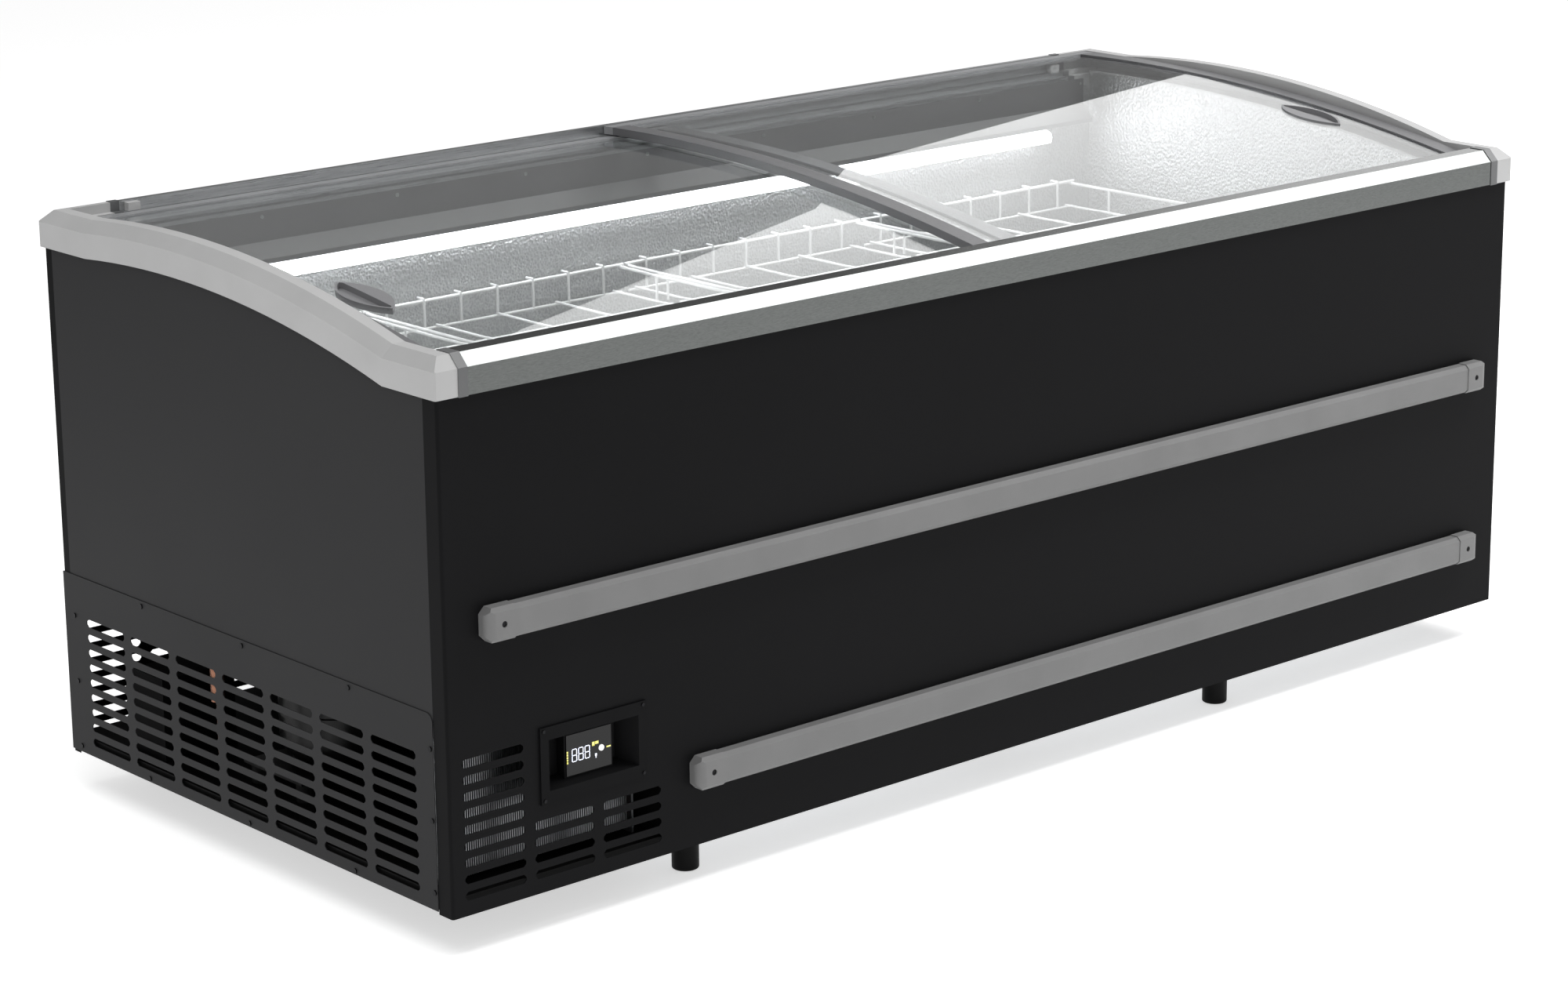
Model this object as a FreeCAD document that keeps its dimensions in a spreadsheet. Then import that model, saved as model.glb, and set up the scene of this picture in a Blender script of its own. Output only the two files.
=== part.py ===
import FreeCAD, Part
import math
import os
import Sketcher

# Chest freezer with two curved glass lids that slide past each other.
# Millimetres. X runs along the cabinet, Y from front (-) to rear (+), Z up from the floor.
# The origin is on the floor, under the middle of the cabinet.

V = FreeCAD.Vector
doc = FreeCAD.newDocument("chest_freezer")
sheet = doc.addObject("Spreadsheet::Sheet", "Dims")
rows = []
nodes = []


class Dim:
    """A length together with the sheet formula that gives it."""

    def __init__(self, value, text):
        self.value = float(value)
        self.text = text

    def __add__(self, other):
        return joined(self, "+", other)

    def __radd__(self, other):
        return joined(other, "+", self)

    def __sub__(self, other):
        return joined(self, "-", other)

    def __rsub__(self, other):
        return joined(other, "-", self)

    def __mul__(self, other):
        return joined(self, "*", other)

    def __rmul__(self, other):
        return joined(other, "*", self)

    def __truediv__(self, other):
        return joined(self, "/", other)

    def __neg__(self):
        return joined(0, "-", self)


def dim(number):
    if isinstance(number, Dim):
        return number
    if number < 0:
        return Dim(number, "(0 - %.4f)" % -number)
    return Dim(number, "%.4f" % number)


def joined(a, sign, b):
    a = dim(a)
    b = dim(b)
    if sign == "+":
        value = a.value + b.value
    elif sign == "-":
        value = a.value - b.value
    elif sign == "*":
        value = a.value * b.value
    else:
        value = a.value / b.value
    return Dim(value, "(%s %s %s)" % (a.text, sign, b.text))


def size(alias, value):
    """One driving dimension: its name in column A, its number in column B."""
    rows.append(alias)
    line = len(rows)
    sheet.set("A%d" % line, alias)
    sheet.set("B%d" % line, str(value))
    sheet.setAlias("B%d" % line, alias)
    return Dim(value, "Dims.%s" % alias)


# Cabinet
foot_height = size("foot_height", 56)
plan_shift = size("plan_shift", 7.6)
body_length = size("body_length", 2090)
body_depth = size("body_depth", 916.6)
skin = size("skin_thickness", 1.2)
front_flange = size("front_flange", 29)
rear_flange = size("rear_flange", 18)
grille_top = size("grille_top", 271.5)
# Rim that carries the lids
rim_proud = size("rim_proud", 5)
front_low = size("rim_front_low", 687.8)
front_top = size("rim_front_top", 740.5)
rear_low = size("rim_rear_low", 745.2)
rear_top = size("rim_rear_top", 797.2)
rim_bevel = size("rim_bevel", 16.4)
cap_radius = size("cap_arc_radius", 2000)
cap_centre_y = size("cap_arc_centre_y", 159)
cap_centre_z = size("cap_arc_centre_z", -1246.2)
cap_height = size("cap_arc_height", 52)
cap_width = size("cap_width", 36)
cap_wall = size("cap_wall", 3)
rail_front_half = size("front_rail_half", 999)
rail_rear_half = size("rear_rail_half", 933)
rear_return = size("rear_return_from", 948)
# Lids
lid_radius = size("lid_arc_radius", 3600)
lid_centre_y = size("lid_arc_centre_y", 304)
lid_crown = size("lid_crown", 799)
lid_thick = size("lid_thickness", 12)
lid_drop = size("lower_lid_drop", 14)
lid_end = size("lid_outer_end", 1008)
lid_lap = size("lid_lap_half", 55)
lid_frame = size("lid_frame_width", 22)
lid_post = size("lid_end_width", 30)
glass_thick = size("glass_thickness", 4)
# Inside
liner_half = size("liner_half_length", 985)
liner_front = size("liner_front", -392)
liner_rear = size("liner_rear", 400)
liner_floor = size("liner_floor", 95)
liner_wall = size("liner_wall", 1.5)
bay_end = size("machine_bay_end", -690)
bay_top = size("machine_bay_top", 262)
step_end = size("liner_step_end", -625)
step_top = size("liner_step_top", 330)
# Trim
bumper_tall = size("bumper_height", 44)
bumper_proud = size("bumper_proud", 20)
bumper_upper = size("bumper_upper_level", 385.8)
bumper_lower = size("bumper_lower_level", 105.4)
bumper_cap = size("bumper_cap_length", 46)
slot_long = size("slot_length", 98.8)
slot_tall = size("slot_height", 12)
slot_pitch = size("slot_row_pitch", 22.4)
slot_bottom = size("slot_bottom_row", 26.8)
column_pitch = size("slot_column_pitch", 115.4)
foot_radius = size("foot_radius", 19)
stud_radius = size("stud_radius", 5)
running_gap = size("running_gap", 0.05)
fan_radius = size("fan_radius", 80)
wire = size("wire_radius", 2)
rim_wire = size("rim_wire_radius", 2.5)
doc.recompute()

half_x = body_length / 2
half_y = body_depth / 2
rim_y = half_y + rim_proud
rim_x = half_x + rim_proud


def up(level):
    """A height above the cabinet's lower edge, given above the floor."""
    return dim(level) + foot_height


def bind(obj, prop, value):
    obj.setExpression(prop, dim(value).text)


def place(obj, x, y, z):
    bind(obj, "Placement.Base.x", x)
    bind(obj, "Placement.Base.y", y)
    bind(obj, "Placement.Base.z", z)


def box(name, x0, x1, y0, y1, z0, z1):
    """A block between two corners."""
    obj = doc.addObject("Part::Box", name)
    bind(obj, "Length", dim(x1) - x0)
    bind(obj, "Width", dim(y1) - y0)
    bind(obj, "Height", dim(z1) - z0)
    place(obj, x0, y0, z0)
    return obj


TURNS = {"z": (V(0, 0, 1), 0), "x": (V(0, 1, 0), 90), "y": (V(1, 0, 0), -90)}


def rod(name, axis, x, y, z, radius, length):
    """A cylinder that starts at a point and runs towards +axis."""
    obj = doc.addObject("Part::Cylinder", name)
    bind(obj, "Radius", radius)
    bind(obj, "Height", length)
    turn = TURNS[axis]
    obj.Placement = FreeCAD.Placement(V(0, 0, 0), FreeCAD.Rotation(turn[0], turn[1]))
    place(obj, x, y, z)
    return obj


def cut(name, base, tool):
    obj = doc.addObject("Part::Cut", name)
    obj.Base = base
    obj.Tool = tool
    return obj


def fuse(name, shapes):
    obj = doc.addObject("Part::MultiFuse", name)
    obj.Shapes = shapes
    return obj


def common(name, shapes):
    obj = doc.addObject("Part::MultiCommon", name)
    obj.Shapes = shapes
    return obj


def group(name, shapes):
    """Identical loose pieces kept together."""
    obj = doc.addObject("Part::Compound", name)
    obj.Links = shapes
    return obj


def node(obj, name):
    """Names a finished sub-part and moves it so the origin is under the outline's middle."""
    obj.Label = name
    if obj.TypeId not in ("Part::Box", "Part::Cylinder"):
        bind(obj, "Placement.Base.y", plan_shift)
    nodes.append((name, obj))
    return obj


def plane(body, role):
    for feature in body.Origin.OriginFeatures:
        if feature.Role == role:
            return feature
    return None


def draw(body, name, role, loops):
    """Closed outlines; a corner is (a, b) and an arc follows a corner as (centre, radius, turn).

    A plain number in a corner or a centre is only a starting guess that the rest settles.
    """
    sketch = body.newObject("Sketcher::SketchObject", name)
    sketch.AttachmentSupport = [(plane(body, role), "")]
    sketch.MapMode = "FlatFace"
    rules = []
    bindings = []

    def rule(value, *parts):
        rules.append(Sketcher.Constraint(*parts, dim(value).value))
        bindings.append((len(rules) - 1, dim(value).text))

    for loop in loops:
        corners = [c for c in loop if not isinstance(c[0], tuple)]
        arcs = {}
        last = -1
        for entry in loop:
            if isinstance(entry[0], tuple):
                arcs[last] = entry
            else:
                last += 1
        ends = []
        for i, corner in enumerate(corners):
            after = corners[(i + 1) % len(corners)]
            p = V(dim(corner[0]).value, dim(corner[1]).value, 0)
            q = V(dim(after[0]).value, dim(after[1]).value, 0)
            if i in arcs:
                centre, radius, turn = arcs[i]
                c = V(dim(centre[0]).value, dim(centre[1]).value, 0)
                first, second = (q, p) if turn == "cw" else (p, q)
                a0 = math.atan2(first.y - c.y, first.x - c.x)
                a1 = math.atan2(second.y - c.y, second.x - c.x)
                circle = Part.Circle(c, V(0, 0, 1), dim(radius).value)
                geo = sketch.addGeometry(Part.ArcOfCircle(circle, a0, a1), False)
                ends.append((geo, 2, 1) if turn == "cw" else (geo, 1, 2))
                rule(radius, "Radius", geo)
                if isinstance(centre[0], Dim):
                    rule(centre[0], "DistanceX", -1, 1, geo, 3)
                    rule(centre[1], "DistanceY", -1, 1, geo, 3)
            else:
                geo = sketch.addGeometry(Part.LineSegment(p, q), False)
                ends.append((geo, 1, 2))
        for i, corner in enumerate(corners):
            geo, start, stop = ends[i]
            nxt = ends[(i + 1) % len(corners)]
            rules.append(Sketcher.Constraint("Coincident", geo, stop, nxt[0], nxt[1]))
            if isinstance(corner[0], Dim):
                rule(corner[0], "DistanceX", -1, 1, geo, start)
            if isinstance(corner[1], Dim):
                rule(corner[1], "DistanceY", -1, 1, geo, start)
    sketch.addConstraint(rules)
    for index, text in bindings:
        sketch.setExpression("Constraints[%d]" % index, text)
    return sketch


def corners(*pairs):
    """Corners that are all fixed by their two coordinates."""
    return [(dim(a), dim(b)) for a, b in pairs]


def pad(body, name, sketch, length, reverse=False):
    obj = body.newObject("PartDesign::Pad", name)
    obj.Profile = sketch
    bind(obj, "Length", length)
    obj.Reversed = reverse
    body.Tip = obj
    return obj


def extruded(name, role, loops, start, length):
    """A body padded from a profile; start is where it begins along the plane's normal."""
    body = doc.addObject("PartDesign::Body", name)
    sketch = draw(body, name + "_profile", role, loops)
    bind(sketch, "AttachmentOffset.Base.z", start)
    pad(body, name + "_pad", sketch, length)
    return body


def slots(body, name, role, loops, count, pitch):
    """Rows of slots cut right through a panel, repeated upwards."""
    doc.recompute()
    before = body.Shape.Volume
    sketch = draw(body, name + "_row", role, loops)
    obj = body.newObject("PartDesign::Pocket", name)
    obj.Profile = sketch
    obj.Type = "ThroughAll"
    body.Tip = obj
    doc.recompute()
    if body.Shape.Volume > before - 1:
        obj.Reversed = True
        doc.recompute()
    if body.Shape.Volume > before - 1:
        raise RuntimeError(name + " cuts nothing")
    if count > 1:
        pattern = body.newObject("PartDesign::LinearPattern", name + "_rows")
        pattern.Originals = [obj]
        pattern.Direction = (sketch, ["V_Axis"])
        bind(pattern, "Length", pitch * (count - 1))
        pattern.Occurrences = count
        body.Tip = pattern
        doc.recompute()
    return body


def slot(a0, b_mid):
    """A slot with clipped corners that starts at a0."""
    clip = slot_tall / 3
    a1 = a0 + slot_long
    low = b_mid - slot_tall / 2
    high = b_mid + slot_tall / 2
    return corners(
        (a0 + clip, low), (a1 - clip, low), (a1, low + clip), (a1, high - clip),
        (a1 - clip, high), (a0 + clip, high), (a0, high - clip), (a0, low + clip))


def corner_edges(shape, x_values, y_values):
    """Upright edges that stand at the given plan positions."""
    found = []
    for i, edge in enumerate(shape.Edges):
        a = edge.Vertexes[0].Point
        b = edge.Vertexes[-1].Point
        if abs(a.x - b.x) > 0.01 or abs(a.y - b.y) > 0.01:
            continue
        near_x = min(abs(a.x - x) for x in x_values)
        near_y = min(abs(a.y - y) for y in y_values)
        if near_x < 0.05 and near_y < 0.05:
            found.append("Edge%d" % (i + 1))
    return found


def rounded(body, name, radius, x_values, y_values):
    doc.recompute()
    tip = body.Tip
    names = corner_edges(tip.Shape, x_values, y_values)
    obj = body.newObject("PartDesign::Fillet", name)
    obj.Base = (tip, names)
    bind(obj, "Radius", radius)
    body.Tip = obj
    doc.recompute()
    return obj


def crown(name, drop):
    """The round stock whose top is the lids' curve, lowered by a depth."""
    start = -(rim_x + 50)
    stock = rod(name, "x", start, lid_centre_y, up(lid_crown - lid_radius),
                lid_radius - drop, 2 * rim_x + 100)
    return stock


def shell(name, drop_top, drop_low, x0, x1, y0, y1):
    """A band that follows the lids' curve between two depths."""
    outer = crown(name + "_top", drop_top)
    inner = crown(name + "_under", drop_low)
    area = box(name + "_area", x0, x1, y0, y1, up(600), up(830))
    upper = common(name + "_upper", [outer, area])
    return cut(name, upper, inner)


# ---------------------------------------------------------------- outer panels
# Front panel: one sheet folded round both ends.
fx = half_x
fy = -half_y
front = extruded("FrontPanel", "XY_Plane", [corners(
    (-fx, fy), (fx, fy), (fx, fy + front_flange), (fx - skin, fy + front_flange),
    (fx - skin, fy + skin), (-fx + skin, fy + skin), (-fx + skin, fy + front_flange),
    (-fx, fy + front_flange))], up(0), front_low)
rounded(front, "FrontPanelBends", 4, [-fx.value, fx.value], [fy.value])
left_column = [slot(dim(-1023.1), up(slot_bottom))]
slots(front, "FrontSlotsTall", "XZ_Plane", left_column, 9, slot_pitch)
right_columns = [slot(dim(-909.1), up(slot_bottom)), slot(dim(-795.1), up(slot_bottom))]
slots(front, "FrontSlotsShort", "XZ_Plane", right_columns, 4, slot_pitch)
window = corners((-889, up(133.5)), (-730.5, up(133.5)), (-730.5, up(212.5)), (-889, up(212.5)))
slots(front, "ControllerWindow", "XZ_Plane", [window], 1, slot_pitch)
node(front, "front_panel")

# Rear panel: folded round the rear corners, with its own air slots.
ry = half_y
rear = extruded("RearPanel", "XY_Plane", [corners(
    (fx, ry), (-fx, ry), (-fx, ry - rear_flange), (-fx + skin, ry - rear_flange),
    (-fx + skin, ry - skin), (fx - skin, ry - skin), (fx - skin, ry - rear_flange),
    (fx, ry - rear_flange))], up(0), rear_low)
rounded(rear, "RearPanelBends", 4, [-fx.value, fx.value], [ry.value])
rear_columns = [slot(dim(-1023.1 + 114 * k), up(slot_bottom)) for k in range(3)]
slots(rear, "RearSlots", "XZ_Plane", rear_columns, 9, slot_pitch)
node(rear, "rear_panel")

# Side panels end under the moulded caps and follow the lids' curve there.
side_y0 = -half_y + front_flange
side_y1 = half_y - rear_flange
crown_stock = crown("SideCrown", 33.2)
left_blank = box("LeftSideBlank", -half_x, -half_x + skin, side_y0, side_y1, up(260), up(810))
node(common("LeftSide", [left_blank, crown_stock]), "left_side_panel")
right_blank = box("RightSideBlank", half_x - skin, half_x, side_y0, side_y1, up(0), up(810))
node(common("RightSide", [right_blank, crown_stock]), "right_side_panel")

# Grille panel over the machine bay, screwed on the left end.
grille = doc.addObject("PartDesign::Body", "GrillePanel")
gy0 = side_y0 + 0.5
gz1 = up(grille_top)
soft = dim(12)
grille_outline = [
    (gy0, up(4)), (half_y, up(4)), (half_y, gz1), (gy0 + soft, gz1),
    (((gy0 + soft).value, (gz1 - soft).value), soft, "ccw"), (gy0, gz1 - soft)]
grille_sketch = draw(grille, "GrillePanelOutline", "YZ_Plane", [grille_outline])
bind(grille_sketch, "AttachmentOffset.Base.z", -half_x - skin)
pad(grille, "GrillePanelPad", grille_sketch, skin)
grille_row = []
for k in range(7):
    grille_row.append(slot(half_y - 57.5 - slot_long - column_pitch * k, up(slot_bottom)))
slots(grille, "GrilleSlots", "YZ_Plane", grille_row, 9, slot_pitch)
node(grille, "left_grille_panel")

# Pan head screws that hold the grille panel, the bumper caps and the controller bezel.
screws = []
for k, level in enumerate((210, 111.5, 13)):
    screws.append(rod("GrilleScrewR%d" % k, "x", -half_x - skin - 1.6, 432.5, up(level), 3.6, 1.6))
for k, level in enumerate((224, 126.5, 28.5)):
    screws.append(rod("GrilleScrewF%d" % k, "x", -half_x - skin - 1.6, -423, up(level), 3.6, 1.6))
for k, across in enumerate((252.5, 2.7, -245.5)):
    screws.append(rod("GrilleScrewT%d" % k, "x", -half_x - skin - 1.6, across, up(263.6), 3.6, 1.6))
    screws.append(rod("GrilleScrewB%d" % k, "x", -half_x - skin - 1.6, across, up(9.4), 3.6, 1.6))

# ---------------------------------------------------------------- frame and feet
foot_x = (-606, 457)
foot_y = 398
rails = []
for k, side in enumerate((-1, 1)):
    y_mid = side * foot_y
    rails.append(box("FrameRail%d" % k, -1040, 1040, y_mid - 20, y_mid + 20, up(1.5), up(25.5)))
for k, x_mid in enumerate((-1020, -670, 20, 1020)):
    rails.append(box("FrameCross%d" % k, x_mid - 20, x_mid + 20, -400, 400, up(1.5), up(25.5)))
frame_bars = fuse("FrameBars", rails)
bores = []
for x_mid in foot_x:
    for side in (-1, 1):
        bores.append(rod("FootBore", "z", x_mid, side * foot_y, up(0), stud_radius + running_gap, 40))
node(cut("Frame", frame_bars, fuse("FootBores", bores)), "base_frame")
floor_plate = box("FloorPlate", bay_end, half_x - 2, -half_y + 2, half_y - 2, up(25.5), up(27))
drain_floor = rod("DrainFloorHole", "z", 600, 0, up(20), 12.5, 20)
plate_holes = fuse("PlateHoles", [drain_floor] + [
    rod("StudHole", "z", x_mid, side * foot_y, up(20), 7, 20)
    for x_mid in foot_x for side in (-1, 1)])
node(cut("FloorPanel", floor_plate, plate_holes), "bottom_panel")

nuts = []
for i, x_mid in enumerate(foot_x):
    for j, side in enumerate((-1, 1)):
        name = "%s_%s" % (("front", "rear")[j], ("left", "right")[i])
        pad_shape = rod("Foot_" + name, "z", x_mid, side * foot_y, 0, foot_radius, foot_height - 8)
        neck = rod("FootNeck_" + name, "z", x_mid, side * foot_y, foot_height - 8.5, 9, 3)
        stud = rod("FootStud_" + name, "z", x_mid, side * foot_y, foot_height - 12, stud_radius, 42)
        whole = fuse("FootWhole_" + name, [pad_shape, neck, stud])
        doc.recompute()
        lowest = 0
        for n, edge in enumerate(whole.Shape.Edges):
            circle = isinstance(edge.Curve, Part.Circle)
            if circle and edge.BoundBox.ZMax < 0.01:
                lowest = n + 1
        soft_edge = doc.addObject("Part::Fillet", "FootSoft_" + name)
        soft_edge.Base = whole
        soft_edge.Edges = [(lowest, 3.0, 3.0)]
        node(soft_edge, "foot_" + name)
        hexagon = doc.addObject("Part::Prism", "NutHex_" + name)
        hexagon.Polygon = 6
        hexagon.Circumradius = 9.8
        hexagon.Height = 5
        place(hexagon, x_mid, side * foot_y, up(-4))
        hole = rod("NutHole_" + name, "z", x_mid, side * foot_y, up(-6), stud_radius + running_gap, 12)
        nuts.append(cut("Nut_" + name, hexagon, hole))
node(group("LockNuts", nuts), "foot_lock_nuts")

# ---------------------------------------------------------------- liner and insulation
def tub(name, grow):
    """The liner's inside, grown outwards by a thickness, as a solid block."""
    block = box(name + "_main", -liner_half - grow, liner_half + grow, liner_front - grow,
                liner_rear + grow, up(liner_floor - grow), up(830))
    ledge = box(name + "_step", -liner_half - grow - 5, step_end - grow, liner_front - grow - 5,
                liner_rear + grow + 5, up(0), up(step_top - grow))
    return cut(name, block, ledge)


above_front = box("AboveFrontWall", -1100, 1100, -600, -389.5, up(front_low), up(840))
above_rear = box("AboveRearWall", -1100, 1100, 399.9, 600, up(rear_low), up(840))
rail_lip_room = box("RailLipRoom", -1014.2, 1014.2, liner_front, -389.5, up(front_low) - 8.1,
                    up(front_low) + 1)
over_walls = fuse("OverWalls", [above_front, above_rear, rail_lip_room])
drain_bore = rod("DrainBore", "z", 600, 0, up(20), 12.2, 100)
tub_outside = tub("TubOutside", liner_wall)
tub_inside = tub("TubInside", dim(0))
liner_raw = cut("LinerRaw", tub_outside, tub_inside)
liner_round = common("LinerRound", [liner_raw, crown_stock])
liner_level = cut("LinerLevel", liner_round, over_walls)
node(cut("Liner", liner_level, drain_bore), "liner_tub")

foam_block = box("FoamBlock", -half_x + skin, half_x - skin, -half_y + skin, half_y - skin,
                 up(27), up(830))
foam_round = common("FoamRound", [foam_block, crown_stock])
foam_level = cut("FoamLevel", foam_round, over_walls)
bay = box("MachineBay", -half_x - 10, bay_end, -half_y - 10, half_y + 10, up(0), up(bay_top))
coil_gap = tub("CoilGap", dim(11.5))
foam_open = cut("FoamOpen", foam_level, fuse("FoamHollows", [bay, coil_gap, drain_bore]))
corner_relief = []
for i, side in enumerate((-1, 1)):
    for j, end in enumerate((-1, 1)):
        corner_relief.append(box("FoamCorner%d%d" % (i, j), side * (half_x - 4) - 4,
                                 side * (half_x - 4) + 4, end * (half_y - 4) - 4,
                                 end * (half_y - 4) + 4, up(0), up(830)))
studs = []
for x_mid in foot_x:
    for side in (-1, 1):
        studs.append(rod("StudRelief", "z", x_mid, side * foot_y, up(20), 8, 14))
node(cut("Foam", foam_open, fuse("FoamReliefs", corner_relief + studs)), "insulation_foam")

# Drain plug in the liner floor, with its spigot.
plug_head = rod("PlugHead", "z", 600, 0, up(liner_floor), 20, 5)
plug_stem = rod("PlugStem", "z", 600, 0, up(liner_floor - 22), 12, 24)
node(fuse("DrainPlug", [plug_head, plug_stem]), "drain_plug")


def route(points, bend):
    """Straight runs joined by tangent arcs."""
    edges = []
    start = points[0]
    for i in range(1, len(points) - 1):
        p = points[i]
        u = (points[i - 1] - p).normalize()
        w = (points[i + 1] - p).normalize()
        half = u.getAngle(w) / 2
        back = bend / math.tan(half)
        a = p + u * back
        b = p + w * back
        middle = (u + w).normalize()
        m = p + middle * (bend / math.sin(half) - bend)
        edges.append(Part.LineSegment(start, a).toShape())
        edges.append(Part.Arc(a, m, b).toShape())
        start = b
    edges.append(Part.LineSegment(start, points[-1]).toShape())
    return Part.Wire(edges)


def tube(points, radius, bend):
    path = route(points, bend)
    first = path.Edges[0]
    tangent = first.tangentAt(first.FirstParameter)
    ring = Part.Wire([Part.makeCircle(radius, points[0], tangent)])
    return path.makePipeShell([ring], True, False)


# Evaporator pipe wound round the liner, inside the foam.
coil_points = []
coil_out = 6.2
x_far = liner_half.value + coil_out
y_near = liner_front.value - coil_out
y_far = liner_rear.value + coil_out
level = up(step_top).value + 40
rise = 19
for turn in range(4):
    for px, py in ((-x_far, y_near), (x_far, y_near), (x_far, y_far), (-x_far, y_far)):
        coil_points.append(V(px, py, level))
        level += rise
coil = doc.addObject("Part::Feature", "EvaporatorPipe")
coil.Shape = tube([V(-x_far, y_near + 200, level - 17 * rise)] + coil_points, 4, 4.5)
node(coil, "evaporator_pipe")

# ---------------------------------------------------------------- rim of the cabinet
# Front rail: an extrusion with a beveled outer edge and two stepped lid tracks.
def front_rail_outline(grow):
    g = dim(grow)
    foot = [(-rim_y, up(front_low))]
    if grow:
        foot = [(-rim_y - g, up(front_low) - g), (-half_y - 0.2, up(front_low) - g),
                (-half_y - 0.2, up(front_low))]
    return corners(
        *foot, (-391.9, up(front_low)), (-391.9, up(front_low - 8)),
        (-390.2, up(front_low - 8)), (-390.2, up(700.9)), (-408.3, up(700.9)),
        (-408.3, up(712.9)), (-420, up(712.9)), (-420, up(front_top) + g),
        (-rim_y + rim_bevel - g * 0.4, up(front_top) + g),
        (-rim_y - g, up(front_top - rim_bevel) + g * 0.4))


def rear_rail_outline(grow):
    g = dim(grow)
    foot = [(rim_y, up(rear_low))]
    if grow:
        foot = [(rim_y + g, up(rear_low) - g), (half_y + 0.2, up(rear_low) - g),
                (half_y + 0.2, up(rear_low))]
    return corners(
        *foot, (400, up(rear_low)), (400, up(762)), (413, up(762)),
        (413, up(770)), (425.7, up(770)), (425.7, up(783.8)), (437.2, up(783.8)),
        (437.2, up(rear_top) + g), (rim_y - rim_bevel + g * 0.4, up(rear_top) + g),
        (rim_y + g, up(rear_top - rim_bevel) + g * 0.4))


front_chamber = corners(
    (-rim_y + 3, up(front_low + 3)), (-424, up(front_low + 3)), (-424, up(front_top - 3)),
    (-rim_y + rim_bevel + 1.2, up(front_top - 3)), (-rim_y + 3, up(front_top - rim_bevel - 1.2)))
rear_chamber = corners(
    (rim_y - 3, up(rear_low + 3)), (rim_y - 3, up(rear_top - rim_bevel - 1.2)),
    (rim_y - rim_bevel - 1.2, up(rear_top - 3)), (441, up(rear_top - 3)), (441, up(rear_low + 3)))
node(extruded("FrontRail", "YZ_Plane", [front_rail_outline(0), front_chamber],
              -rail_front_half, 2 * rail_front_half), "front_rail")
node(extruded("RearRail", "YZ_Plane", [rear_rail_outline(0), rear_chamber],
              -rail_rear_half, 2 * rail_rear_half), "rear_rail")
cap_in = rim_x - cap_width
joiners = [
    extruded("JoinerFL", "YZ_Plane", [front_rail_outline(1)], -cap_in, cap_in - rail_front_half),
    extruded("JoinerFR", "YZ_Plane", [front_rail_outline(1)], rail_front_half,
             cap_in - rail_front_half),
    extruded("JoinerRL", "YZ_Plane", [rear_rail_outline(1)], -rear_return,
             rear_return - rail_rear_half),
    extruded("JoinerRR", "YZ_Plane", [rear_rail_outline(1)], rail_rear_half,
             rear_return - rail_rear_half)]
node(group("Joiners", joiners), "rail_joiners")


def cap_outline(lower, upper, y0, y1):
    """The cap's side view between two offsets from its curved lower edge."""
    radius_low = cap_radius + lower
    radius_high = cap_radius + upper
    centre = (cap_centre_y, up(cap_centre_z))
    low_f = up(front_low) + lower
    low_r = up(rear_low) + lower
    high_f = up(front_top) - cap_height + upper
    high_r = up(rear_top) - cap_height + upper
    return [(y0, low_f), (-350.0, low_f), (centre, radius_low, "cw"), (344.0, low_r),
            (y1, low_r), (y1, high_r), (346.7, high_r), (centre, radius_high, "ccw"),
            (-354.5, high_f), (y0, high_f)]


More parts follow.
